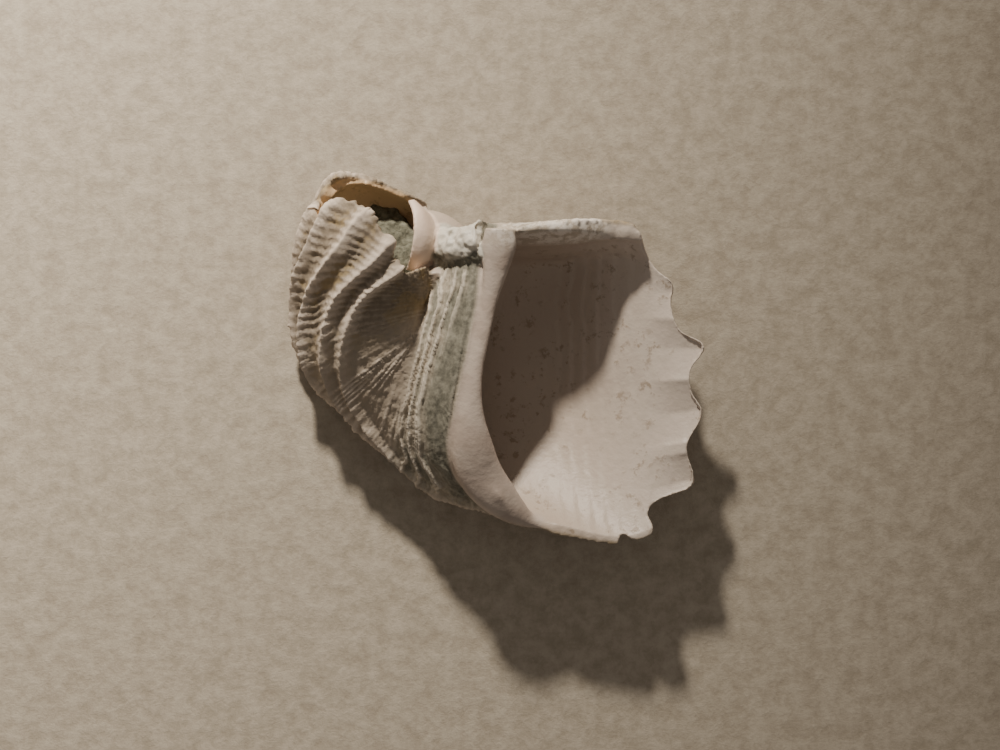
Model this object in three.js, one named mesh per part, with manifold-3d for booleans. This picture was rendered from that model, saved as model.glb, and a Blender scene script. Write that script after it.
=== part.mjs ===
// A broken gastropod shell lying on its back with the wide mouth up, and the lump of dried silt
// caught in the break. Millimetres, +Z up, standing on z = 0, seen from above as it lies.
import * as THREE from "three";
import { mergeVertices } from "three/addons/utils/BufferGeometryUtils.js";
import Module from "manifold-3d";

const wasm = await Module();
wasm.setup();

// Driving dimensions
const WALL = 1.25; // wall thickness of the whorl
const MOUTH_WALL = 0.95; // thinner wall towards the outer lip
const THICK_EDGE = 0.7; // share by which the wall is thicker along the straight edge of the mouth
const GAP = 0.3; // between the silt and the shell
// Spiral cords, in degrees round the section behind the first one: on the whorl, and at the outer
// lip, where each ends in a lobe.
const CORDS_YOUNG = [0, 22, 53, 84, 114, 144, 174];
const CORDS_LIP = [0, 42, 73, 98, 122, 150, 175];
const CORD_HALF = 13; // half a cord's width in degrees
const CORD_HEIGHT = 0.62;
const FLUTE = 0.8; // share of a cord's height that also shows inside, near the outer lip
const TERRACE = 0.4; // height of the worn growth steps between the lip and the ribbed whorl
const LOW_TILT = 0.85; // share of the tilt that is lost on the spire side of the section
const TOP = 30; // cutters reach up to here
const REST_FLAT = 0.35; // how much is worn off the lowest parts, so that the shell rests on flats

// The whorl is lofted through growth stations. Each is a section in an upright plane, from its
// inner end by the axis to its outer end:
// [inner x, y, outer x, y, centre z, rise, drop, first cord, tilt, bow]
// rise and drop are from the centre up to the base of the shell and down to its spire side. Then come
// the angle round the section of the first cord, from the outer end upwards, the tilt, which is how
// much higher the section's inner end stands than its centre, and how far its middle bows along X.
const STATIONS = [
  [-5.4, 8.9, -6.4, 13.9, 5.0, 3.2, 4.0, 150, 0.0, 0.0], // the older whorl, where the spire takes over
  [-5.6, 8.6, -10.8, 15.9, 5.8, 4.9, 5.0, 142, 0.6, 0.0],
  [-6.0, 8.0, -15.0, 15.9, 6.1, 6.1, 5.3, 134, 1.1, 0.0], // the break
  [-5.9, 6.6, -17.6, 10.4, 5.3, 6.6, 4.5, 121, 1.8, 0.0],
  [-5.9, 5.2, -18.2, 4.6, 4.8, 5.5, 4.35, 91, 2.0, 0.0],
  [-6.2, 3.6, -17.4, -0.7, 4.8, 4.3, 4.2, 71, 2.1, 0.0],
  [-6.3, 2.6, -13.6, -5.2, 5.0, 3.3, 4.0, 38, 2.1, 0.0],
  [-5.8, 5.6, -9.0, -9.4, 5.7, 2.7, 4.4, 10, 1.9, -0.3],
  [-3.4, 9.2, -5.5, -12.2, 6.6, 2.9, 5.4, 0, 1.9, -1.6],
  [-2.0, 10.2, -1.4, -13.4, 8.0, 3.1, 7.2, -4, 1.2, -1.9],
  [-0.4, 11.4, 1.7, -14.9, 8.3, 3.5, 7.8, -5, 0.2, -1.9],
  [5.6, 12.0, 6.2, -16.2, 8.4, 12.0, 7.3, -5, 0.0, -0.5],
  [10.9, 12.0, 11.8, -16.9, 8.4, 12.0, 4.1, -5, 0.0, 0.0],
  [17.6, 10.6, 18.0, -15.0, 8.8, 9.0, 1.3, -5, 0.0, 0.0],
  [24.6, 9.4, 24.6, -13.0, 9.4, 5.0, 0.9, -5, 0.0, 0.0],
];
const FIRST = -2; // growth at the first row, with the break at 0
const OLD_END = -2;
const NEW_END = 11.7; // past the outer lip, where the lobes are cut

const MIDDLE = new THREE.Vector2(-0.077, -0.395); // of the shell in plan, moved to the origin

const rad = THREE.MathUtils.degToRad;
const clamp = THREE.MathUtils.clamp;
const smooth = THREE.MathUtils.smoothstep;

// Row of STATIONS at growth t, by a Catmull-Rom curve through the stations.
function station(t) {
  const last = STATIONS.length - 1;
  const at = clamp(t - FIRST, 0, last);
  const i = Math.min(Math.floor(at), last - 1);
  const f = at - i;
  const row = (k) => STATIONS[clamp(k, 0, last)];
  return row(i).map((p1, n) => {
    const p0 = row(i - 1)[n];
    const p2 = row(i + 1)[n];
    const p3 = row(i + 2)[n];
    const m1 = (p2 - p0) / 2;
    const m2 = (p3 - p1) / 2;
    const a = 2 * (p1 - p2) + m1 + m2;
    const b = 3 * (p2 - p1) - 2 * m1 - m2;
    return ((a * f + b) * f + m1) * f + p1;
  });
}

// Height of the spiral cords at growth t and section angle psi, in degrees.
function cord(t, psi, first) {
  const behind = (((first - psi + 20) % 360) + 360) % 360 - 20;
  const age = smooth(t, 4, 10);
  let ridge = 0;
  CORDS_YOUNG.forEach((offset, n) => {
    const off = (behind - (offset + age * (CORDS_LIP[n] - offset))) / CORD_HALF;
    if (Math.abs(off) < 1) ridge = Math.max(ridge, Math.cos((Math.PI / 2) * off) ** 2);
  });
  const young = smooth(t, -1.5, 0.5);
  return CORD_HEIGHT * ridge * young;
}

// Stacked growth steps on the base of the shell, from the ribbed whorl to the mouth's smooth lip.
function terrace(t, psi) {
  const where = smooth(t, 3.2, 4.2) * (1 - smooth(t, 8, 8.6)) * smooth(Math.sin(rad(psi)), 0.3, 0.8);
  return TERRACE * where * ((t * 1.6) % 1);
}

// A point of the section at growth t and angle psi in degrees, moved inwards by inset.
function whorl(t, psi, inset) {
  const [ix, iy, ox, oy, zc, rise, drop, first, tilt, bow] = station(t);
  const c = Math.cos(rad(psi));
  const s = Math.sin(rad(psi));
  const open = smooth(t, 7, 9.5);
  // Round on the early whorl; towards the mouth a steep inner wall and a sloping outer one.
  const p = 2 + open * (c < 0 ? 5 : -0.25);
  const q = 2 - open * (c < 0 ? 0.3 : 0.75);
  const lift = (1 - Math.abs(c) ** p) ** (1 / (s < 0 ? q : 2));
  if (inset > 0) inset *= 1 + THICK_EDGE * open * smooth(-c, 0.8, 0.97);
  const half = Math.hypot(ox - ix, oy - iy) / 2;
  const ribs = cord(t, psi, first);
  const grow = inset > 0 ? FLUTE * open * ribs - inset : ribs + terrace(t, psi);
  const along = (c * (half + grow)) / half;
  const lean = tilt * c * (s < 0 ? 1 - LOW_TILT * lift : 1);
  const z = zc - lean + (s < 0 ? -(drop + grow) : rise + grow) * lift;
  const sideways = bow * (1 - c * c) * (1 + 1.4 * c);
  return new THREE.Vector3(
    (ix + ox) / 2 + ((ox - ix) / 2) * along + sideways,
    (iy + oy) / 2 + ((oy - iy) / 2) * along,
    z,
  );
}

// A closed solid from rings of points, with a fan over each end.
function solidOfRings(rings) {
  const n = rings[0].length;
  const points = rings.flat();
  const faces = [];
  for (let r = 0; r + 1 < rings.length; r++)
    for (let k = 0; k < n; k++) {
      const a = r * n + k;
      const b = r * n + ((k + 1) % n);
      faces.push(a, b, b + n, a, b + n, a + n);
    }
  for (const [first, flip] of [[0, true], [(rings.length - 1) * n, false]]) {
    const middle = new THREE.Vector3();
    for (let k = 0; k < n; k++) middle.addScaledVector(points[first + k], 1 / n);
    points.push(middle);
    for (let k = 0; k < n; k++) {
      const a = first + k;
      const b = first + ((k + 1) % n);
      faces.push(...(flip ? [b, a] : [a, b]), points.length - 1);
    }
  }
  return manifoldOf(points, faces);
}

// A solid of these faces, turned the right way out.
function manifoldOf(points, faces) {
  const geometry = new THREE.BufferGeometry().setFromPoints(points).setIndex(faces);
  const merged = mergeVertices(geometry, 1e-4);
  const triVerts = new Uint32Array(merged.index.array);
  const vertProperties = merged.attributes.position.array;
  const made = new wasm.Manifold(new wasm.Mesh({ numProp: 3, vertProperties, triVerts }));
  if (made.volume() > 0) return made;
  for (let i = 0; i < triVerts.length; i += 3)
    [triVerts[i + 1], triVerts[i + 2]] = [triVerts[i + 2], triVerts[i + 1]];
  return new wasm.Manifold(new wasm.Mesh({ numProp: 3, vertProperties, triVerts }));
}

// The whorl from growth t0 to t1 as one solid, its surface moved inwards by inset(t).
function whorlSolid(t0, t1, inset, rings, around) {
  const made = [];
  for (let r = 0; r <= rings; r++) {
    const t = t0 + ((t1 - t0) * r) / rings;
    const ring = [];
    for (let k = 0; k < around; k++) ring.push(whorl(t, (360 * k) / around, inset(t)));
    made.push(ring);
  }
  return solidOfRings(made);
}

// A round bar along a smooth path, radius(share) wide and squash times as high.
function bar(path, radius, squash, rings, around) {
  const curve = new THREE.CatmullRomCurve3(path.map((p) => new THREE.Vector3(...p)));
  const made = [];
  for (let r = 0; r <= rings; r++) {
    const at = curve.getPoint(r / rings);
    const ahead = curve.getTangent(r / rings);
    const side = ahead.clone().cross(new THREE.Vector3(0, 0, 1)).normalize();
    const over = side.clone().cross(ahead).normalize();
    const wide = radius(r / rings);
    const ring = [];
    for (let k = 0; k < around; k++) {
      const a = (2 * Math.PI * k) / around;
      ring.push(
        at.clone().addScaledVector(side, wide * Math.cos(a))
          .addScaledVector(over, wide * squash * Math.sin(a)),
      );
    }
    made.push(ring);
  }
  return solidOfRings(made);
}

// A cutter: the plan outline extruded from floor(x, y) up past the shell.
function cutter(outline, floor) {
  const shape = outline.map(([x, y]) => new THREE.Vector2(x, y));
  if (THREE.ShapeUtils.isClockWise(shape)) shape.reverse();
  const flat = THREE.ShapeUtils.triangulateShape(shape, []);
  const n = shape.length;
  const points = [
    ...shape.map((p) => new THREE.Vector3(p.x, p.y, floor(p.x, p.y))),
    ...shape.map((p) => new THREE.Vector3(p.x, p.y, TOP)),
  ];
  const faces = [];
  for (const [a, b, c] of flat) faces.push(c, b, a, a + n, b + n, c + n);
  for (let k = 0; k < n; k++) {
    const j = (k + 1) % n;
    faces.push(k, j, j + n, k, j + n, k + n);
  }
  return manifoldOf(points, faces);
}

function box(low, high) {
  const size = new THREE.Vector3().subVectors(high, low);
  const geometry = new THREE.BoxGeometry(size.x, size.y, size.z);
  geometry.translate((low.x + high.x) / 2, (low.y + high.y) / 2, (low.z + high.z) / 2);
  geometry.deleteAttribute("normal");
  geometry.deleteAttribute("uv");
  const merged = mergeVertices(geometry);
  const points = [];
  for (let i = 0; i < merged.attributes.position.count; i++)
    points.push(new THREE.Vector3().fromBufferAttribute(merged.attributes.position, i));
  return manifoldOf(points, [...merged.index.array]);
}

// The smooth inner lip, down the left of the mouth from the canal: [x, y, z, half width].
const LIP = [
  [0.3, 11.2, 11.7, 1.3], [0.2, 9.2, 11.5, 1.5], [-0.5, 5.0, 11.45, 0.8], [-1.2, 1.4, 11.35, 0.7],
  [-1.8, -1.6, 11.2, 0.75], [-2.1, -4.8, 10.85, 1.1], [-2.1, -7.9, 10.1, 1.9], [-1.4, -10.6, 9.2, 2.1],
  [0.7, -13.1, 8.6, 1.7], [3.4, -15.1, 7.9, 0.6],
];
// The lobes and notches of the outer lip, from the canal end round to the suture end.
const LOBES = [
  [12.3, 12.4], [12.9, 10.9], [13.4, 9.4], [14.4, 7.8], [15.8, 6.5], [15.7, 4.6], [16.4, 2.4],
  [18.6, 0.9], [17.4, -1.3], [17.5, -3.2], [18.4, -5.2], [17.1, -8.0], [17.6, -10.4], [17.3, -11.8],
  [14.6, -12.9], [13.6, -14.0], [14.1, -15.4], [13.6, -16.6], [12.3, -16.5], [11.0, -16.2],
];

// Beyond this line across the ribbed whorl, its roof has broken away.
const BREAK_LEVEL = 5.2;
const BREAK = [
  [-8.2, 7.2], [-9.9, 10.2], [-11.2, 12.3], [-13.2, 13.7], [-16.2, 13.0], [-20, 19], [-3.5, 19], [-4.9, 8.6],
];

// How high the rim of the mouth stands: low along the outer lip, and higher along the straight edge
// from the canal until it runs out towards the corner.
const RIM = {
  low: 8.3, extra: 3.4, edgeStarts: 9.4, edgeEnds: 11.2, dropStarts: 5.5, dropEnds: 11, dropShare: 0.85,
};
function rimHeight(x, y) {
  const runningOut = 1 - RIM.dropShare * smooth(x, RIM.dropStarts, RIM.dropEnds);
  return RIM.low + RIM.extra * smooth(y, RIM.edgeStarts, RIM.edgeEnds) * runningOut;
}

function buildShell() {
  const outer = whorlSolid(OLD_END, NEW_END, () => 0, 66, 52);
  const wall = (t) => WALL + (MOUTH_WALL - WALL) * smooth(t, 8, 10.5);
  const hollow = whorlSolid(OLD_END + 0.4, NEW_END + 0.2, wall, 44, 24);
  const mouth = cutter(
    [...LIP.slice(0, -1).map(([x, y]) => [x, y]), [1.6, -19], [26, -19], [26, 20], [0.2, 20], [0.4, 11.6]],
    rimHeight,
  );
  const beyondLip = cutter([...LOBES, [10.9, -21], [32, -21], [32, 19], [12.4, 19]], () => -5);
  const brokenRoof = cutter(BREAK, () => BREAK_LEVEL);
  return outer.subtract(hollow).subtract(mouth).subtract(beyondLip).subtract(brokenRoof);
}

function buildLip() {
  const widths = new THREE.SplineCurve(LIP.map((row, i) => new THREE.Vector2(i, row[3])));
  return bar(LIP.map(([x, y, z]) => [x, y, z]), (share) => widths.getPoint(share).y, 0.6, 24, 12);
}

// What is left of the broken whorl's inner wall: a thin curved plate standing in the break.
function buildPlate(extra) {
  const path = [
    [-7.7, 13.6, 6.9], [-6.7, 12.5, 7.7], [-6.1, 10.8, 8.1], [-6.3, 9.0, 7.9], [-7.2, 7.7, 7.6],
  ];
  return bar(path, (share) => 0.4 + 0.45 * Math.sin(Math.PI * share) + extra, 3, 14, 10);
}

// The pillar that the whorls wind round, and the base of the canal that bridges it to the mouth.
function buildPillar(extra) {
  const upright = [[-5.57, 8.13, 1.9], [-5.5, 7.0, 4.6], [-5.3, 5.6, 8.0]];
  const bridge = [[-5.8, 9.8, 5.6], [-4.0, 9.6, 7.4], [-2.2, 9.7, 9.2], [-0.8, 10.2, 10.3]];
  const pillar = bar(upright, (share) => 3.0 - share + extra, 1, 6, 14);
  return pillar.add(bar(bridge, () => 1.9 + extra, 1, 6, 14));
}

// The older whorls: a small spiral that winds down under the body whorl to the apex.
const AXIS = new THREE.Vector2(-5.6, 8.2);
const SPIRE = {
  radius: 2.5, reach: 2.6, rate: 0.19, turns: 2.1, apexZ: 0.25, startZ: 5.2, startAt: 100,
};
function buildSpire(extra) {
  const rings = [];
  const steps = 44;
  for (let i = 0; i <= steps; i++) {
    const back = (SPIRE.turns * 2 * Math.PI * (steps - i)) / steps;
    const scale = Math.exp(-SPIRE.rate * back);
    const angle = rad(SPIRE.startAt) - back;
    const ring = [];
    for (let k = 0; k < 14; k++) {
      const a = (2 * Math.PI * k) / 14;
      const r = scale * SPIRE.reach + (scale * SPIRE.radius + extra) * Math.cos(a);
      const rise = scale * (SPIRE.startZ - SPIRE.apexZ);
      const z = SPIRE.apexZ + rise + (scale * SPIRE.radius + extra) * Math.sin(a);
      ring.push(new THREE.Vector3(AXIS.x + r * Math.cos(angle), AXIS.y + r * Math.sin(angle), z));
    }
    rings.push(ring);
  }
  return solidOfRings(rings);
}

// The silt fills the old whorl on both sides of the break, and its lumpy top slopes down towards
// the outer wall.
const SILT = { from: -1.0, to: 1.2, level: 5.8, slope: 0.75, slopesFrom: 9, lump: 0.3 };
const SILT_REMOVED = [
  [-8.0, 6.9], [-11.2, 11.8], [-13.2, 13.0], [-16.5, 12.2], [-20, 21], [-3, 21], [-3, 6.9],
];
function siltTop(x, y) {
  const slope = SILT.slope * Math.max(y - SILT.slopesFrom, 0);
  return SILT.level - slope + SILT.lump * Math.sin(2 * x) * Math.cos(1.7 * y);
}

function buildSilt() {
  return whorlSolid(SILT.from, SILT.to, () => WALL + GAP, 12, 20)
    .subtract(cutter(SILT_REMOVED, siltTop))
    .subtract(buildCore(GAP));
}

// Everything in the middle of the shell, grown by extra all round.
function buildCore(extra) {
  return buildPillar(extra).add(buildSpire(extra)).add(buildPlate(extra));
}

function meshOf(solid, name, material) {
  const data = solid.getMesh();
  const positions = new Float32Array(data.numVert * 3);
  for (let i = 0; i < data.numVert; i++)
    positions.set(data.vertProperties.subarray(i * data.numProp, i * data.numProp + 3), i * 3);
  const geometry = new THREE.BufferGeometry()
    .setAttribute("position", new THREE.BufferAttribute(positions, 3))
    .setIndex(new THREE.BufferAttribute(data.triVerts, 1));
  const mesh = new THREE.Mesh(geometry, material);
  mesh.name = name;
  return mesh;
}

const belowGround = box(new THREE.Vector3(-40, -40, -20), new THREE.Vector3(40, 40, REST_FLAT));
const shell = buildShell().add(buildLip()).add(buildCore(0)).subtract(belowGround);
const shellLime = new THREE.MeshStandardMaterial({ color: 0xcbbfae, roughness: 0.7, metalness: 0 });
const driedSilt = new THREE.MeshStandardMaterial({ color: 0x77766a, roughness: 0.95, metalness: 0 });
const group = new THREE.Group();
group.add(meshOf(shell, "shell", shellLime));
group.add(meshOf(buildSilt(), "silt_plug", driedSilt));
group.children.forEach((mesh) => mesh.position.set(-MIDDLE.x, -MIDDLE.y, -REST_FLAT));

export default group;
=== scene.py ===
"""A broken, weathered sea snail shell lying on its back, with dried silt caught in the break.

The shell is lofted through growth stations, as the CAD model is, then cut, joined into one skin and
given its spiral cords, growth scales and wear as real relief. Work is in millimetres until the end.
"""
import math
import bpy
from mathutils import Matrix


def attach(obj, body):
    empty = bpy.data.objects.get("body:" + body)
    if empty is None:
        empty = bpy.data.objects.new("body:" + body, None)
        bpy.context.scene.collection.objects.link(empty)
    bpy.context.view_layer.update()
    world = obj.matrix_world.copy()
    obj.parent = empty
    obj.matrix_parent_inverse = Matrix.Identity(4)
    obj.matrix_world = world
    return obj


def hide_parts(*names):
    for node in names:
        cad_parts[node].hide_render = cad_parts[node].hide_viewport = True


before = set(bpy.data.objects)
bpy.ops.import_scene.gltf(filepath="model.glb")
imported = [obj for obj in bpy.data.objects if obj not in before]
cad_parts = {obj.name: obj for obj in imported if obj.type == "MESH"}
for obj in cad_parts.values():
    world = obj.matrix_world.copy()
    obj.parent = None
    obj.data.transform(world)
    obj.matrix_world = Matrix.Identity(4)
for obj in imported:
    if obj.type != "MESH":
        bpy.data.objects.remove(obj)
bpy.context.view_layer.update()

from types import SimpleNamespace

import bpy
import numpy as np
from mathutils import Vector
from mathutils.bvhtree import BVHTree

MM = 0.001
VOXEL = 0.15  # size of the joined skin's faces, mm
MIDDLE = (-0.077, -0.395, 0.35)  # the origin of the CAD frame, in the frame of the numbers below

# Growth stations of the whorl: [inner x, y, outer x, y, centre z, rise, drop, first cord's angle,
# tilt, which is how much higher the inner end stands than the centre, and bow along X].
# The first row is at growth -2, and the break is at 0.
FIRST = -2
STATIONS = np.array([
    [-5.4, 8.9, -6.4, 13.9, 5.0, 3.2, 4.0, 150, 0.0, 0.0],
    [-5.6, 8.6, -10.8, 15.9, 5.8, 4.9, 5.0, 142, 0.6, 0.0],
    [-6.0, 8.0, -15.0, 15.9, 6.1, 6.1, 5.3, 134, 1.1, 0.0],
    [-5.9, 6.6, -17.6, 10.4, 5.3, 6.6, 4.5, 121, 1.8, 0.0],
    [-5.9, 5.2, -18.2, 4.6, 4.8, 5.5, 4.35, 91, 2.0, 0.0],
    [-6.2, 3.6, -17.4, -0.7, 4.8, 4.3, 4.2, 71, 2.1, 0.0],
    [-6.3, 2.6, -13.6, -5.2, 5.0, 3.3, 4.0, 38, 2.1, 0.0],
    [-5.8, 5.6, -9.0, -9.4, 5.7, 2.7, 4.4, 10, 1.9, -0.3],
    [-3.4, 9.2, -5.5, -12.2, 6.6, 2.9, 5.4, 0, 1.9, -1.6],
    [-2.0, 10.2, -1.4, -13.4, 8.0, 3.1, 7.2, -4, 1.2, -1.9],
    [-0.4, 11.4, 1.7, -14.9, 8.3, 3.5, 7.8, -5, 0.2, -1.9],
    [5.6, 12.0, 6.2, -16.2, 8.4, 12.0, 7.3, -5, 0.0, -0.5],
    [10.9, 12.0, 11.8, -16.9, 8.4, 12.0, 4.1, -5, 0.0, 0.0],
    [17.6, 10.6, 18.0, -15.0, 8.8, 9.0, 1.3, -5, 0.0, 0.0],
    [24.6, 9.4, 24.6, -13.0, 9.4, 5.0, 0.9, -5, 0.0, 0.0],
])
OLD_END = -2  # growth at which the loft starts
NEW_END = 11.7  # growth at which it ends, past the outer lip, which is cut from it
WALL = 1.15  # thickness of the whorl's wall, mm
MOUTH_WALL = 0.6  # the same towards the outer lip
THICK_EDGE = 1.3  # share by which the wall is thicker at the inner end of the mouth's sections
TILT_LOST = 0.85  # share of the tilt that is lost at the bottom of the section
TOP = 30  # cutters reach up to here, mm
BREAK_LEVEL = 5.2  # height above which the wall is gone in the break, mm
RIM, RIM_STEP = 8.3, 3.4  # height of the mouth's rim, and how much higher its straight edge is, mm

# Angles of the spiral cords, in degrees behind the first one: on the early whorl, and at the lip.
CORDS_YOUNG = (0, 22, 53, 84, 114, 144, 174)
CORDS_LIP = (0, 42, 73, 98, 122, 150, 175)
CORD_HALF = 13  # half a cord's width in degrees
CREST = 1.3  # how sharp a cord's crest is

# Heights of the relief, mm
CORD_HEIGHT = 0.8
SCALES, SCALES_LOST = 0.13, 0.05  # growth scales in the grooves, and how much less on a crest
FINE_LINES = 0.07
FAN_LINES = 0.17  # growth lines of the fan, which has no cords
LUMPS = 0.14
TOP_LAYERS = 0.16  # layers of the wall along the mouth's +Y side
STACKS, LEAVES = 0.36, 0.17  # thick and thin lamellae of the band beside the lip
GRAIN, INNER_GRAIN = 0.04, 0.02
FLUTES = 0.8  # the cords, seen from inside near the outer lip
INNER_STEPS = 0.05
CANAL_LUMPS = 0.42
SILT_LUMPS = 0.28
LIP_ROUNDS = 40  # how far the smooth lip is blended into the whorl
EDGE_ROUNDS = 8  # how worn the broken edge of the outer lip is


# ---- numbers ----------------------------------------------------------------------------------

def smooth(x, low, high):
    f = np.clip((x - low) / (high - low), 0, 1)
    return f * f * (3 - 2 * f)


def hashed(ix, iy, iz, seed):
    """A repeatable random number from 0 to 1 for each whole-number place."""
    h = (ix * 374761393 + iy * 668265263 + iz * 2147483647 + seed * 1274126177) & 0xFFFFFFFF
    h = ((h ^ (h >> 13)) * 1103515245) & 0xFFFFFFFF
    h = ((h ^ (h >> 16)) * 668265263) & 0xFFFFFFFF
    return ((h ^ (h >> 15)) & 0xFFFFFF) / float(0xFFFFFF)


def noise(x, y=0.0, z=0.0, seed=0):
    """Smooth noise from -1 to 1."""
    x, y, z = np.broadcast_arrays(np.asarray(x, float), y, z)
    ix, iy, iz = (np.floor(v).astype(np.int64) for v in (x, y, z))
    fx, fy, fz = (v - np.floor(v) for v in (x, y, z))
    fx, fy, fz = (f * f * (3 - 2 * f) for f in (fx, fy, fz))
    total = 0.0
    for dx, wx in ((0, 1 - fx), (1, fx)):
        for dy, wy in ((0, 1 - fy), (1, fy)):
            for dz, wz in ((0, 1 - fz), (1, fz)):
                total = total + wx * wy * wz * hashed(ix + dx, iy + dy, iz + dz, seed)
    return 2 * total - 1


def layered(x, y=0.0, z=0.0, seed=0, octaves=4):
    total, size = 0.0, 1.0
    for n in range(octaves):
        total = total + size * noise(x * 2 ** n, y * 2 ** n, z * 2 ** n, seed + n)
        size *= 0.5
    return total / 1.9


# ---- the whorl --------------------------------------------------------------------------------

def station(t):
    """The stations' row at growth t, by a Catmull-Rom curve."""
    last = len(STATIONS) - 1
    at = np.clip(np.asarray(t, float) - FIRST, 0, last)
    i = np.minimum(at.astype(int), last - 1)
    f = (at - i)[..., None]
    p0, p1, p2, p3 = (STATIONS[np.clip(i + k, 0, last)] for k in (-1, 0, 1, 2))
    m1, m2 = (p2 - p0) / 2, (p3 - p1) / 2
    row = ((2 * (p1 - p2) + m1 + m2) * f + 3 * (p2 - p1) - 2 * m1 - m2) * f
    return np.moveaxis((row + m1) * f + p1, -1, 0)


def whorl(t, psi, inset):
    """A point of the section at growth t and angle psi, in degrees, moved inwards by inset."""
    ix, iy, ox, oy, zc, rise, drop, _, tilt, bow = station(t)
    c, s = np.cos(np.radians(psi)), np.sin(np.radians(psi))
    wide = smooth(t, 7, 9.5)
    p = 2 + wide * np.where(c < 0, 5, -0.25)
    q = 2 - wide * np.where(c < 0, 0.3, 0.75)
    lift = (1 - np.abs(c) ** p) ** (1 / np.where(s < 0, q, 2))
    inset = inset * (1 + THICK_EDGE * wide * smooth(-c, 0.8, 0.97))
    half = np.hypot(ox - ix, oy - iy) / 2
    along = c * (half - inset) / half
    lean = tilt * c * np.where(s < 0, 1 - TILT_LOST * lift, 1)
    z = zc - lean + np.where(s < 0, -(drop - inset), rise - inset) * lift
    x = (ix + ox) / 2 + (ox - ix) / 2 * along + bow * (1 - c * c) * (1 + 1.4 * c)
    return np.stack([x, (iy + oy) / 2 + (oy - iy) / 2 * along, z], -1)


def cord_ridge(t, psi):
    """0 in a groove, 1 on the crest of a spiral cord."""
    first = station(t)[7]
    behind = (first - psi + 20) % 360 - 20
    age = smooth(t, 4, 10)
    ridge = np.zeros_like(behind)
    for young, lip in zip(CORDS_YOUNG, CORDS_LIP):
        off = np.abs(behind - (young + age * (lip - young))) / CORD_HALF
        keep = 1 - smooth(t, 6.5, 8.5) if young == 0 else 1  # the first one fades along the mouth
        ridge = np.maximum(ridge, keep * np.where(off < 1, np.abs(1 - off) ** CREST, 0))
    return ridge


# ---- meshes -----------------------------------------------------------------------------------

def new_object(name, points, faces):
    mesh = bpy.data.meshes.new(name)
    mesh.from_pydata(np.asarray(points, float).tolist(), [], [list(f) for f in faces])
    mesh.validate()
    obj = bpy.data.objects.new(name, mesh)
    bpy.context.scene.collection.objects.link(obj)
    return obj


def ring_faces(rings, around):
    r, k = np.meshgrid(np.arange(rings - 1), np.arange(around), indexing="ij")
    a = r * around + k
    b = r * around + (k + 1) % around
    return np.stack([a, b, b + around, a + around], -1).reshape(-1, 4)


def signed_volume(points, faces):
    p = np.asarray(points)
    tri = np.array([(f[0], f[k], f[k + 1]) for f in faces for k in range(1, len(f) - 1)])
    return np.einsum("ij,ij->i", p[tri[:, 0]], np.cross(p[tri[:, 1]], p[tri[:, 2]])).sum()


def ring_solid(name, grid):
    """A closed solid from rings of points, with a flat cap at each end."""
    rings, around = grid.shape[:2]
    points = grid.reshape(-1, 3)
    faces = [tuple(f) for f in ring_faces(rings, around)]
    faces.append(tuple(range(around))[::-1])
    faces.append(tuple(range((rings - 1) * around, rings * around)))
    if signed_volume(points, faces) < 0:
        faces = [f[::-1] for f in faces]
    return new_object(name, points, faces)


def whorl_grid(t0, t1, inset, rings, around):
    t = np.linspace(t0, t1, rings)[:, None]
    psi = np.linspace(0, 360, around, endpoint=False)[None, :]
    t, psi = np.broadcast_arrays(t, psi)
    return whorl(t, psi, inset(t))


def catmull(points, share):
    """Points along a smooth curve through points, at each share of its length."""
    p = np.asarray(points, float)
    at = np.asarray(share) * (len(p) - 1)
    i = np.minimum(at.astype(int), len(p) - 2)
    f = (at - i)[:, None]
    row = [p[np.clip(i + k, 0, len(p) - 1)] for k in (-1, 0, 1, 2)]
    m1, m2 = (row[2] - row[0]) / 2, (row[3] - row[1]) / 2
    bend = (2 * (row[1] - row[2]) + m1 + m2) * f + 3 * (row[2] - row[1]) - 2 * m1 - m2
    return (bend * f + m1) * f + row[1]


def bar(name, path, radius, squash, rings=60, around=32):
    """A round bar along a smooth path, radius(share) wide and squash times as high."""
    share = np.linspace(0, 1, rings)
    at = catmull(path, share)
    ahead = np.gradient(at, axis=0)
    ahead /= np.linalg.norm(ahead, axis=1)[:, None]
    side = np.cross(ahead, (0, 0, 1))
    side /= np.linalg.norm(side, axis=1)[:, None]
    over = np.cross(side, ahead)
    a = np.linspace(0, 2 * math.pi, around, endpoint=False)
    wide = radius(share)[:, None, None]
    grid = at[:, None] + wide * (side[:, None] * np.cos(a)[None, :, None]
                                 + squash * over[:, None] * np.sin(a)[None, :, None])
    return ring_solid(name, grid)


def curtain(name, left, right, floor, steps=60):
    """A cutter between two plan curves with as many points, from floor(x, y) up."""
    share = np.linspace(0, 1, steps * 2)
    a, b = catmull(left, share), catmull(right, share)
    across = np.linspace(0, 1, steps)[None, :, None]
    plan = a[:, None] * (1 - across) + b[:, None] * across
    low = floor(plan[..., 0], plan[..., 1])
    bottom = np.dstack([plan, low])
    top = np.dstack([plan, np.full_like(low, TOP)])
    loop = np.concatenate([bottom, top[:, ::-1]], axis=1)
    return ring_solid(name, loop)


def boolean(obj, other, operation):
    step = obj.modifiers.new(operation, "BOOLEAN")
    step.operation = operation
    step.object = other
    step.solver = "MANIFOLD"
    bake(obj)
    bpy.data.objects.remove(other)


def bake(obj):
    graph = bpy.context.evaluated_depsgraph_get()
    mesh = bpy.data.meshes.new_from_object(obj.evaluated_get(graph))
    obj.modifiers.clear()
    obj.data = mesh


def remesh(obj, voxel):
    step = obj.modifiers.new("skin", "REMESH")
    step.mode = "VOXEL"
    step.voxel_size = voxel
    bake(obj)


def coordinates(mesh):
    flat = np.empty(len(mesh.vertices) * 3, np.float32)
    mesh.vertices.foreach_get("co", flat)
    return flat.reshape(-1, 3).astype(float)


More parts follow.
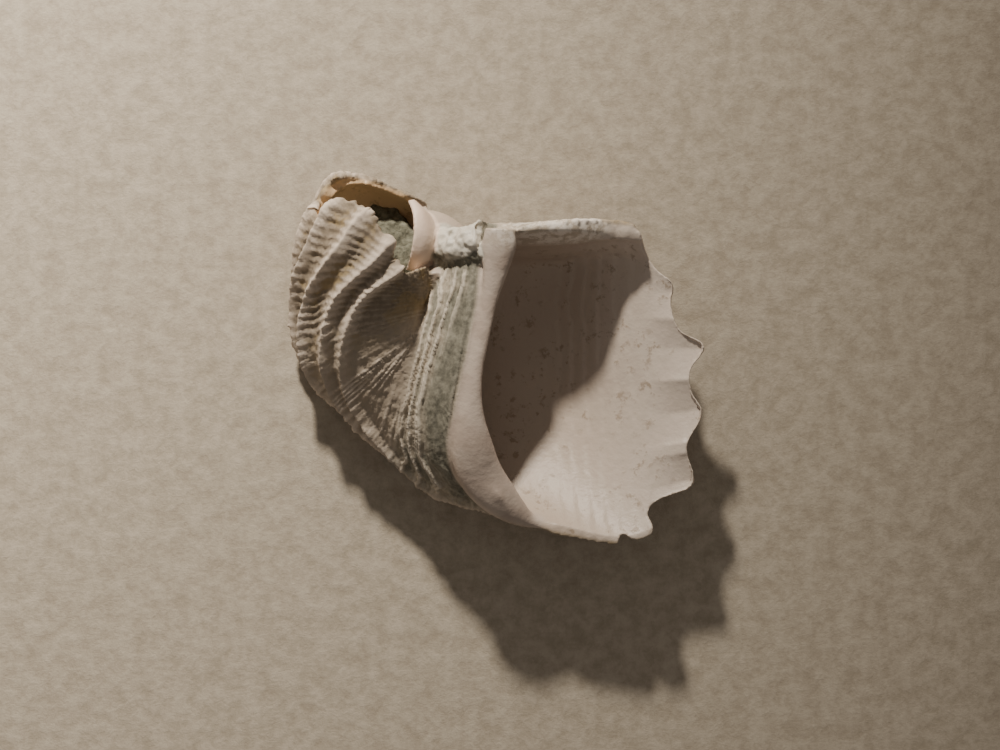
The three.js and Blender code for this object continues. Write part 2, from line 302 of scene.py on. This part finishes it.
def normals(mesh):
    flat = np.empty(len(mesh.vertices) * 3, np.float32)
    mesh.vertices.foreach_get("normal", flat)
    return flat.reshape(-1, 3).astype(float)


def place(mesh, points):
    mesh.vertices.foreach_set("co", points.astype(np.float32).ravel())
    mesh.update()


def attribute(mesh, name, values):
    layer = mesh.attributes.new(name, "FLOAT", "POINT")
    layer.data.foreach_set("value", np.asarray(values, np.float32))


# ---- the shell's base shape -------------------------------------------------------------------

# Curves, mm: the smooth inner lip, down the left of the mouth from the canal, as x, y, z and half
# width, then the plan of the outer lip's lobed edge, and of the line where the whorl has broken.
LIP = [(0.3, 11.2, 11.7, 1.3), (0.2, 9.2, 11.5, 1.5), (-0.5, 5.0, 11.45, 0.8), (-1.2, 1.4, 11.35, 0.7),
       (-1.8, -1.6, 11.2, 0.75), (-2.1, -4.8, 10.85, 1.1), (-2.1, -7.9, 10.1, 1.9), (-1.4, -10.6, 9.2, 2.1),
       (0.7, -13.1, 8.6, 1.7), (3.4, -15.1, 7.9, 0.6)]
LOBES = [(12.3, 12.4), (12.9, 10.9), (13.4, 9.4), (14.4, 7.8), (15.8, 6.5), (15.7, 4.6), (16.4, 2.4),
         (18.6, 0.9), (17.4, -1.3), (17.5, -3.2), (18.4, -5.2), (17.1, -8.0), (17.6, -10.4),
         (17.3, -11.8), (14.6, -12.9), (13.6, -14.0), (14.1, -15.4), (13.6, -16.6), (12.3, -16.5),
         (11.0, -16.2)]
BREAK = [(-8.2, 7.2), (-9.9, 10.2), (-11.2, 12.3), (-13.2, 13.7), (-16.2, 13.0), (-20, 19)]
AXIS = (-5.6, 8.2)  # the spire's axis, in plan


def rim_height(x, y):
    """Low along the outer lip, higher along the straight edge until it nears the corner."""
    return RIM + RIM_STEP * smooth(y, 9.4, 11.2) * (1 - 0.85 * smooth(x, 5.5, 11))


def no_inset(t):
    return 0 * t


def build_mouth_cutter():
    left = [(0.2, 20), (0.4, 11.6)] + [row[:2] for row in LIP[:-1]] + [(1.6, -19)]
    right = [(26, y) for _, y in left]
    return curtain("mouth_cut", left, right, rim_height, 120)


def build_lip_cutter():
    left = [(12.0, 21)] + LOBES + [(10.5, -21)]
    right = [(32, y) for _, y in left]
    return curtain("lobe_cut", left, right, lambda x, y: np.full_like(x, -5), 160)


def build_break_cutter():
    ragged = 0.25 * noise(np.arange(len(BREAK) * 6) * 0.9, seed=6)
    share = np.linspace(0, 1, len(ragged))
    left = catmull(BREAK, share) + ragged[:, None]
    right = catmull([(-4.9, 8.4), (-4.6, 10.0), (-4.3, 12.0), (-4.0, 14.0), (-3.5, 19)], share)
    return curtain("break_cut", left, right,
                   lambda x, y: BREAK_LEVEL + 0.7 * noise(x * 1.1, y * 1.1, seed=5))


def build_lip():
    rows = np.array(LIP)
    return bar("lip", rows[:, :3], lambda share: catmull(rows, share)[:, 3], 0.6, 120, 40)


def build_plate():
    """A thin crescent, all that is left of the broken whorl's inner wall: high on its left edge."""
    high = [(-7.9, 13.9, 8.4), (-7.4, 12.6, 9.6), (-7.3, 10.8, 10.2), (-7.6, 9.0, 9.8), (-8.1, 7.6, 8.6)]
    low = [(-7.2, 13.8, 6.4), (-5.9, 12.6, 6.6), (-5.1, 10.8, 6.8), (-5.3, 9.0, 7.0), (-6.8, 7.5, 7.2)]
    share = np.linspace(0, 1, 50)
    across = np.linspace(0, 1, 14)[None, :, None]
    belly = np.array([0.25, 0.1, 0.9]) * np.sin(math.pi * across)
    sheet = catmull(high, share)[:, None] * (1 - across) + catmull(low, share)[:, None] * across + belly
    thick = 0.35 + 0.65 * np.sin(math.pi * across[:, ::-1])
    under = sheet[:, ::-1] - np.array([0.25, 0.1, 0.75]) * thick
    return ring_solid("plate", np.concatenate([sheet, under], axis=1))


def build_pillar():
    path = [(-5.57, 8.13, 1.9), (-5.5, 7.0, 4.6), (-5.3, 5.6, 8.0)]
    return bar("pillar", path, lambda share: 3 - share, 1)


def build_canal():
    """The base of the canal, a bridge from beside the pillar up to the corner of the mouth."""
    path = [(-5.8, 9.8, 5.6), (-4.0, 9.6, 7.4), (-2.2, 9.7, 9.2), (-0.8, 10.2, 10.3)]
    return bar("canal", path, lambda share: 1.9 + 0 * share, 1)


def build_spire():
    """The older whorls wind down to the apex, on the side that the shell lies on."""
    radius, reach, rate, turns, apex_z, start_z, start = 2.5, 2.6, 0.19, 2.1, 0.25, 5.2, 100
    back = turns * 2 * math.pi * np.linspace(1, 0, 150)[:, None]
    a = np.linspace(0, 2 * math.pi, 36, endpoint=False)[None, :]
    scale = np.exp(-rate * back)
    r = scale * (reach + radius * np.cos(a))
    angle = math.radians(start) - back
    z = apex_z + scale * (start_z - apex_z + radius * np.sin(a))
    return ring_solid("spire", np.dstack([AXIS[0] + r * np.cos(angle), AXIS[1] + r * np.sin(angle), z]))


def build_floor_cutter():
    """All that is below the level to which the lowest parts are worn."""
    far, deep = 40, -20
    corners = [(-far, -far), (far, -far), (far, far), (-far, far)]
    grid = np.array([[(x, y, z) for x, y in corners] for z in (deep, MIDDLE[2])], float)
    return ring_solid("ground", grid)


def wall(t):
    """Thickness of the whorl's wall at growth t."""
    return WALL + (MOUTH_WALL - WALL) * smooth(t, 8, 10.8)


def build_base():
    """The plain shell as one fine skin, and the lip, plate and canal as points and faces."""
    shell = ring_solid("shell_relief", whorl_grid(OLD_END, NEW_END, no_inset, 280, 150))
    hollow = ring_solid("hollow", whorl_grid(OLD_END + 0.4, NEW_END + 0.2, wall, 200, 110))
    for cutter in (hollow, build_mouth_cutter(), build_lip_cutter(), build_break_cutter()):
        boolean(shell, cutter, "DIFFERENCE")
    joined = []
    for part in (build_lip(), build_plate(), build_canal(), build_pillar(), build_spire()):
        joined.append((coordinates(part.data).tolist(), [tuple(p.vertices) for p in part.data.polygons]))
        boolean(shell, part, "UNION")
    boolean(shell, build_floor_cutter(), "DIFFERENCE")
    remesh(shell, VOXEL)
    return shell, joined[:3]


# ---- relief -----------------------------------------------------------------------------------

class Surface:
    """The smooth whorl surface, to look up growth and angle at a place."""

    def __init__(self, inset, rings, around):
        self.around = around
        self.t = np.linspace(OLD_END, NEW_END + 0.2, rings)
        self.grid = whorl_grid(OLD_END, NEW_END + 0.2, inset, rings, around)
        faces = ring_faces(rings, around)
        self.tree = BVHTree.FromPolygons(self.grid.reshape(-1, 3).tolist(), faces.tolist())

    def lookup(self, points):
        """Growth, angle and distance of the nearest place for each point."""
        found = [self.tree.find_nearest(Vector(p)) for p in points]
        face = np.array([f[2] for f in found])
        spot = np.array([f[0] for f in found])
        far = np.array([f[3] for f in found])
        r, k = face // self.around, face % self.around
        p = self.grid[r, k]
        u = self.grid[r, (k + 1) % self.around] - p
        v = self.grid[r + 1, k] - p
        d = spot - p
        uu, vv, uv = (u * u).sum(1), (v * v).sum(1), (u * v).sum(1)
        du, dv = (d * u).sum(1), (d * v).sum(1)
        det = np.maximum(uu * vv - uv * uv, 1e-12)
        a = np.clip((du * vv - dv * uv) / det, 0, 1)
        b = np.clip((dv * uu - du * uv) / det, 0, 1)
        return self.t[r] + b * (self.t[1] - self.t[0]), (k + a) * 360 / self.around, far


def fold(x, sharp=0.7):
    """A rounded ridge in each unit, steeper on its far side, from 0 to 1."""
    f = x - np.floor(x)
    f = np.where(f < sharp, f / sharp, (1 - f) / (1 - sharp))
    return f * f * (3 - 2 * f)


def near(points, solid, reach):
    """1 on the surface of the solid, falling to 0 at reach from it."""
    tree = BVHTree.FromPolygons(*solid)
    far = np.array([tree.find_nearest(Vector(p))[3] for p in points])
    return 1 - smooth(far, 0.3 * reach, reach)


def soften(mesh, weight, rounds):
    """Evens the surface out where weight is 1, each point moving towards its neighbours."""
    pull = 0.6
    points = coordinates(mesh)
    pairs = np.empty(len(mesh.edges) * 2, np.int32)
    mesh.edges.foreach_get("vertices", pairs)
    a, b = pairs.reshape(-1, 2).T
    count = np.bincount(np.concatenate([a, b]), minlength=len(points))[:, None]
    for _ in range(rounds):
        total = np.zeros_like(points)
        for axis in range(3):
            total[:, axis] = (np.bincount(a, points[b, axis], len(points))
                              + np.bincount(b, points[a, axis], len(points)))
        points += weight[:, None] * pull * (total / count - points)
    place(mesh, points)


def locate(points, normal, lip, plate, canal):
    """Where each point is on the shell: growth, section angle, and shares from 0 to 1."""
    at = SimpleNamespace()
    at.x, at.y, at.z = points.T
    at.t, at.psi, out_far = Surface(no_inset, 420, 240).lookup(points)
    _, _, in_far = Surface(wall, 300, 160).lookup(points)
    x, y, t, psi = at.x, at.y, at.t, at.psi
    base_side = smooth(np.sin(np.radians(psi)), -0.2, 0.4)
    at.flat = np.abs(normal[:, 2])  # 1 where the skin faces straight up or down
    at.lip = near(points, lip, 0.8) * smooth(normal[:, 2], -0.2, 0.2)
    at.plate = near(points, plate, 0.4)
    at.canal = near(points, canal, 0.5)
    at.young = smooth(t, -1.5, 0.5)
    at.old = smooth(t, 6.5, 8.5)
    at.top_wall = smooth(t, 7.8, 8.6) * smooth(y, 8.5, 10.5)
    at.fan = smooth(t, 2.2, 3.4) * base_side  # where the cords give way to plain growth lines
    at.band = smooth(t, 4.7, 5.4) * (1 - smooth(t, 8.2, 8.8)) * base_side
    at.outside = smooth(in_far - out_far, -0.15, 0.35) * (1 - smooth(out_far, 0.15, 0.5))
    at.outside *= (1 - at.lip) * (1 - at.plate)
    at.outside *= 1 - smooth(t, 7.5, 7.9) * base_side * (1 - at.top_wall)
    at.inside = (1 - at.outside) * (1 - at.plate) * (1 - at.canal) * (1 - at.lip)
    at.ridge = cord_ridge(t, psi) * (1 - at.top_wall)
    # towards the outer lip only the faces of the sheet are moved, and not its broken edge
    at.faces = 1 - smooth(x, 11, 13) * (1 - smooth(at.flat, 0.6, 0.9)) * (1 - at.top_wall)
    # bends the growth folds, which carry on across the grooves between the cords
    at.warp = 0.09 * layered(psi / 22, t * 0.7, seed=3) + 0.02 * layered(psi / 5, t * 3, seed=4)
    return at


def whorl_relief(at):
    """Cords, growth scales and growth lines, with the patterns that colour them too."""
    x, y, z, t, psi = at.x, at.y, at.z, at.t, at.psi
    at.folds = fold(t * 6.3 + at.warp * 9 + 0.5 * noise(t * 1.7, seed=2), 0.6)
    uneven = 0.9 * layered(psi / 40, t * 3.1, seed=18) + 0.9 * noise(t * 3.3, seed=19)
    at.lines = fold(t * 7 + uneven, 0.75) * np.clip(0.6 + 0.9 * noise(t * 5.7, psi / 50, seed=17), 0, 1)
    fine = fold(t * 17 + at.warp * 40)
    layers = fold(z * 1.6 + 1.1 * layered(x * 0.4, z * 0.7, seed=23), 0.8)
    vary = np.clip(0.75 + 1.1 * layered(t * 2.6, psi / 9, seed=8), 0.05, 1.7)
    scales = (SCALES - SCALES_LOST * at.ridge) * (1 - 0.6 * at.fan) * (1 - 0.85 * at.old) * at.young
    relief = CORD_HEIGHT * at.ridge * at.young * (0.9 + 0.12 * vary) * (1 - 0.25 * at.band)
    relief += scales * (at.folds - 0.5) * vary
    relief += FINE_LINES * (fine - 0.5) * vary * (1 - 0.6 * at.old) * (1 - smooth(t, 9.5, 10.5))
    relief += FAN_LINES * at.fan * (1 - at.band) * (at.lines - 0.4)
    relief += LUMPS * layered(x * 1.1, y * 1.1, z * 1.1, seed=21) * (1 - at.old) * (1 - 0.7 * at.band)
    relief += TOP_LAYERS * at.top_wall * (layers - 0.4)
    return relief + GRAIN * layered(x * 2.6, y * 2.6, z * 2.6, seed=20)


def band_relief(at):
    """The band of stacked lamellae beside the smooth lip, with silt between some of them."""
    x, y, t, psi = at.x, at.y, at.t, at.psi
    bend = t + 0.28 * layered(psi / 30, t * 0.5, seed=12) + 0.05 * layered(psi / 6, t, seed=13)
    stack = fold(bend * 2.1, 0.86)
    leaves = fold(bend * 8.3, 0.75)
    strip = 1 - smooth(np.abs(bend - 7.0 - 0.35 * noise(y * 0.25, seed=14)), 0.25, 0.75)
    patch = layered(x * 0.30, y * 0.16, t * 0.9, seed=15)
    between = smooth(patch, 0.0, 0.3) * smooth(stack, 0.95, 0.45)
    under_canal = smooth(y, 6.9, 8.2) * smooth(patch, -0.3, 0.1)
    silted = np.maximum(np.maximum(between, strip * smooth(patch, -0.35, -0.1)), under_canal)
    on_canal = at.canal * smooth(layered(x * 0.5, y * 0.5, seed=35), -0.1, 0.15)
    at.leaves = 0.5 * leaves + 0.5 * stack
    at.silt = np.maximum(silted * at.band * at.outside, on_canal)
    return at.band * (STACKS * (stack - 0.4) * (1 - 0.7 * silted) + LEAVES * (leaves - 0.5) * (1 - silted))


def inner_relief(at):
    """The inside of the whorl, fluted near the outer lip, and the rough base of the canal."""
    x, y, z, t = at.x, at.y, at.z, at.t
    flute = np.sqrt(at.ridge) * smooth(x, 12.5, 17.5)
    steps = fold(t * 4.4 + at.warp * 6) - 0.5
    relief = INNER_GRAIN * layered(x * 1.5, y * 1.5, z * 1.5, seed=31)
    relief -= FLUTES * flute * at.inside * at.faces
    relief += INNER_STEPS * at.inside * smooth(t, 8.6, 9.4) * steps
    return relief + CANAL_LUMPS * at.canal * layered(x * 1.3, y * 1.3, z * 1.3, seed=33)


def store_patterns(mesh, at):
    """Keeps what the material needs as attributes of the mesh."""
    oldest = (1 - smooth(at.t, 0.5, 2)) * (1 - smooth(at.x, -7.6, -6.8))
    values = {"outside": at.outside, "ridge": at.ridge * at.young, "fold": at.folds, "lines": at.lines,
              # "fan" also carries painted light: it lightens the fan's colour
              "band": at.band, "leaves": at.leaves, "silt": at.silt, "fan": at.fan, "lip": at.lip,
              "plate": at.plate, "canal": at.canal * (1 - at.outside), "oldest": oldest,
              # "deep" is the mask of the painted shade inside the whorl
              "deep": 1 - smooth(at.t, 8.6, 10.8), "edge": at.top_wall * smooth(at.z, 8.6, 9.6)}
    for name, value in values.items():
        attribute(mesh, name, value)


def add_relief(shell, lip, plate, canal):
    mesh = shell.data
    points = coordinates(mesh)
    soften(mesh, near(points, lip, 1.9) * (1 - smooth(points[:, 1], 8, 10)), LIP_ROUNDS)
    points, normal = coordinates(mesh), normals(mesh)
    at = locate(points, normal, lip, plate, canal)
    outer = (whorl_relief(at) + band_relief(at)) * at.outside * at.faces
    points = points + normal * (outer + inner_relief(at) * (1 - at.outside))[:, None]
    points[:, 2] = np.maximum(points[:, 2], MIDDLE[2])  # worn flat where it lies
    place(mesh, points)
    soften(mesh, smooth(at.x, 11, 13) * (1 - smooth(at.flat, 0.7, 0.97)), EDGE_ROUNDS)
    store_patterns(mesh, at)


def to_metres(obj):
    mesh = obj.data
    place(mesh, (coordinates(mesh) - np.array(MIDDLE)) * MM)
    mesh.polygons.foreach_set("use_smooth", np.ones(len(mesh.polygons), bool))


# ---- materials --------------------------------------------------------------------------------

class Nodes:
    """Short calls for a material's node tree."""

    def __init__(self, name, roughness, specular=0.5):
        self.material = bpy.data.materials.new(name)
        self.material.use_nodes = True
        self.tree = self.material.node_tree
        self.shader = self.tree.nodes["Principled BSDF"]
        self.shader.inputs["Roughness"].default_value = roughness
        self.shader.inputs["Specular IOR Level"].default_value = specular
        self.coords = self.tree.nodes.new("ShaderNodeTexCoord").outputs["Object"]

    def put(self, socket, value):
        if isinstance(value, bpy.types.NodeSocket):
            self.tree.links.new(value, socket)
        else:
            socket.default_value = value

    def attribute(self, name):
        node = self.tree.nodes.new("ShaderNodeAttribute")
        node.attribute_name = name
        return node.outputs["Fac"]

    def noise(self, per_mm, detail=4, roughness=0.55):
        node = self.tree.nodes.new("ShaderNodeTexNoise")
        self.tree.links.new(self.coords, node.inputs["Vector"])
        node.inputs["Scale"].default_value = per_mm / MM
        node.inputs["Detail"].default_value = detail
        node.inputs["Roughness"].default_value = roughness
        return node.outputs["Fac"]

    def math(self, operation, a, b=0.0):
        node = self.tree.nodes.new("ShaderNodeMath")
        node.operation = operation
        self.put(node.inputs[0], a)
        self.put(node.inputs[1], b)
        return node.outputs[0]

    def span(self, value, low, high, to_low=0.0, to_high=1.0):
        node = self.tree.nodes.new("ShaderNodeMapRange")
        node.interpolation_type = "SMOOTHSTEP"
        self.put(node.inputs["Value"], value)
        limits = {"From Min": low, "From Max": high, "To Min": to_low, "To Max": to_high}
        for socket, number in limits.items():
            node.inputs[socket].default_value = number
        return node.outputs["Result"]

    def mix(self, share, a, b, blend="MIX"):
        node = self.tree.nodes.new("ShaderNodeMix")
        node.data_type = "RGBA"
        node.blend_type = blend
        self.put(node.inputs["Factor"], share)
        for socket, colour in ((node.inputs[6], a), (node.inputs[7], b)):
            self.put(socket, colour if isinstance(colour, bpy.types.NodeSocket) else (*colour, 1))
        return node.outputs[2]

    def bump(self, height, distance_mm, strength=0.6):
        node = self.tree.nodes.new("ShaderNodeBump")
        self.put(node.inputs["Height"], height)
        node.inputs["Distance"].default_value = distance_mm * MM
        node.inputs["Strength"].default_value = strength
        self.tree.links.new(node.outputs["Normal"], self.shader.inputs["Normal"])

    def finish(self, colour):
        self.put(self.shader.inputs["Base Color"], colour)
        return self.material


def ribbed_colour(n, grain, blotch, rough):
    """Pale crests, brown grooves with ochre pits, and the streaked fan of growth lines, which is also made
    lighter as painted light.
    """
    light = n.mix(grain, (0.57, 0.465, 0.37), (0.72, 0.61, 0.50))
    brown = n.mix(grain, (0.16, 0.125, 0.085), (0.35, 0.28, 0.205))
    worn = n.math("ADD", n.attribute("ridge"), n.math("MULTIPLY", n.attribute("fold"), 0.35))
    worn = n.math("ADD", worn, rough)
    colour = n.mix(n.span(worn, 0.15, 1.2), brown, light)
    pits = n.math("MULTIPLY", n.span(blotch, 0.5, 0.6), n.span(worn, 0.6, 0.2))
    colour = n.mix(n.math("MULTIPLY", pits, 0.7), colour, (0.33, 0.24, 0.12))
    streak = n.span(n.math("ADD", n.attribute("lines"), n.math("MULTIPLY", rough, 2)), 0.1, 0.9)
    # the fan's streaked colour is its own, but it is made lighter as painted light because the fan faces
    # away from the lamp
    fan = n.mix(streak, (0.42, 0.345, 0.265), (0.68, 0.575, 0.465))
    return n.mix(n.math("MULTIPLY", n.attribute("fan"), 0.8), colour, fan)


def stacked_colour(n, grain, rough):
    cream = n.mix(grain, (0.50, 0.43, 0.34), (0.70, 0.62, 0.51))
    tan = n.mix(grain, (0.32, 0.265, 0.195), (0.48, 0.41, 0.32))
    return n.mix(n.span(n.math("ADD", n.attribute("leaves"), rough), 0.35, 0.75), tan, cream)


def inner_colour(n, grain, blotch, speck):
    """The smooth inside, with painted shade deep in the whorl, and the parts joined to it."""
    colour = n.mix(blotch, (0.57, 0.47, 0.39), (0.67, 0.58, 0.495))
    # painted shade: darker brown deep inside the whorl, away from the outer lip
    colour = n.mix(n.math("MULTIPLY", n.attribute("deep"), 0.45), colour, (0.36, 0.26, 0.18))
    colour = n.mix(n.attribute("oldest"), colour, (0.66, 0.46, 0.27))
    dirt = n.math("MULTIPLY", n.span(speck, 0.53, 0.62), n.span(blotch, 0.45, 0.58))
    colour = n.mix(n.math("MULTIPLY", dirt, 0.55), colour, (0.24, 0.16, 0.09))
    lip = n.mix(n.span(blotch, 0.4, 0.65), (0.51, 0.42, 0.35), (0.42, 0.335, 0.275))
    colour = n.mix(n.attribute("lip"), colour, lip)
    canal = n.mix(grain, (0.52, 0.47, 0.38), (0.74, 0.69, 0.60))
    colour = n.mix(n.attribute("canal"), colour, canal)
    plate = n.mix(blotch, (0.74, 0.55, 0.43), (0.80, 0.66, 0.54))
    return n.mix(n.attribute("plate"), colour, plate)


def shell_material():
    n = Nodes("weathered_shell", 0.62, 0.35)
    blotch = n.noise(0.35)
    grain = n.noise(2.2, 6)
    speck = n.noise(1.1, 8, 0.7)
    rough = n.math("MULTIPLY", n.math("SUBTRACT", speck, 0.5), 0.9)
    n.bump(n.math("ADD", grain, n.math("MULTIPLY", speck, 0.6)), 0.06)
    n.put(n.shader.inputs["Roughness"], n.span(n.attribute("outside"), 0, 1, 0.42, 0.8))
    ribbed, stacked = ribbed_colour(n, grain, blotch, rough), stacked_colour(n, grain, rough)
    outside = n.mix(n.attribute("band"), ribbed, stacked)
    colour = n.mix(n.attribute("outside"), inner_colour(n, grain, blotch, speck), outside)
    layers = n.mix(n.span(rough, -0.08, 0.06), (0.50, 0.42, 0.33), (0.78, 0.70, 0.61))
    colour = n.mix(n.attribute("edge"), colour, layers)
    silt = n.mix(n.span(speck, 0.3, 0.7), (0.10, 0.093, 0.068), (0.28, 0.258, 0.20))
    return n.finish(n.mix(n.attribute("silt"), colour, silt))


def silt_material():
    n = Nodes("dried_silt", 0.95, 0.2)
    grain = n.noise(1.6, 8, 0.7)
    n.bump(grain, 0.3, 0.9)
    return n.finish(n.mix(n.span(grain, 0.3, 0.7), (0.07, 0.066, 0.045), (0.24, 0.23, 0.17)))


def paper_material():
    n = Nodes("pale_paper", 0.95, 0.2)
    fibre = n.noise(0.6, 8, 0.75)
    n.bump(fibre, 0.3, 0.5)
    return n.finish(n.mix(n.span(fibre, 0.3, 0.7), (0.37, 0.31, 0.235), (0.53, 0.46, 0.365)))


# ---- pieces -----------------------------------------------------------------------------------

def silt_top(x, y):
    """The lumpy top of the silt, level up to slope_y and then sloping down towards +Y."""
    level, slope, slope_y, lump = 5.8, 0.75, 9, 0.5
    return level - slope * np.maximum(y - slope_y, 0) + lump * layered(x, y, seed=41)


def build_silt():
    bury = 0.2  # how far its skin is inside the wall, so that no gap shows
    silt = ring_solid("silt_lump", whorl_grid(-1.0, 1.2, lambda t: WALL - bury + 0 * t, 60, 60))
    left = [(-8.0, 6.9), (-9.8, 9.8), (-11.2, 11.8), (-13.2, 13.0), (-16.5, 12.2), (-20, 21)]
    right = [(-3, y) for _, y in left]
    boolean(silt, curtain("silt_cut", left, right, silt_top), "DIFFERENCE")
    remesh(silt, VOXEL)
    mesh = silt.data
    points, normal = coordinates(mesh), normals(mesh)
    x, y, z = points.T
    lumps = layered(x * 1.6, y * 1.6, z * 1.6, seed=44)
    place(mesh, points + normal * (SILT_LUMPS * lumps)[:, None])
    return silt


def add_piece(piece, node, material):
    to_metres(piece)
    piece.data.materials.clear()
    piece.data.materials.append(material)
    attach(piece, "root")
    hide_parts(node)


def build_shell():
    shell, parts = build_base()
    add_relief(shell, *parts)
    add_piece(shell, "shell", shell_material())


def build_stage():
    half = 0.6  # half the paper's width, m
    paper = new_object("paper", [(x, y, 0) for y in (-half, half) for x in (-half, half)], [(0, 1, 3, 2)])
    paper.data.materials.append(paper_material())


def build_camera():
    field = 90 * MM  # width of the view at the height of the shell's middle
    camera = bpy.data.cameras.new("camera")
    camera.lens, camera.sensor_width = 100, 36
    eye = bpy.data.objects.new("camera", camera)
    x, y, z = 0.392 * MM, -1.315 * MM, 6 * MM  # the point in the middle of the view
    eye.location = (x, y, z + field * camera.lens / camera.sensor_width)
    bpy.context.scene.collection.objects.link(eye)
    bpy.context.scene.camera = eye


def add_lamp(name, azimuth, elevation, distance, size, spread, watts, colour, aim):
    lamp = bpy.data.lights.new(name, "AREA")
    lamp.shape = "DISK"
    lamp.spread = math.radians(spread)
    lamp.size, lamp.energy, lamp.color = size, watts, colour
    obj = bpy.data.objects.new(name, lamp)
    a, e = math.radians(azimuth), math.radians(elevation)
    way = Vector((math.cos(a) * math.cos(e), math.sin(a) * math.cos(e), math.sin(e)))
    obj.location = way * distance
    obj.rotation_euler = (obj.location - Vector(aim)).to_track_quat("Z", "Y").to_euler()
    bpy.context.scene.collection.objects.link(obj)


def build_lights():
    add_lamp("key", azimuth=103, elevation=30, distance=0.32, size=0.027, spread=66, watts=0.54,
             colour=(1.0, 0.93, 0.83), aim=(-0.09, 0.10, 0))
    world = bpy.data.worlds.new("room")
    world.use_nodes = True
    sky = world.node_tree.nodes["Background"]
    sky.inputs["Color"].default_value = (1.0, 0.92, 0.84, 1)
    sky.inputs["Strength"].default_value = 0.19
    bpy.context.scene.world = world


build_camera()
build_stage()
build_lights()
build_shell()
add_piece(build_silt(), "silt_plug", silt_material())
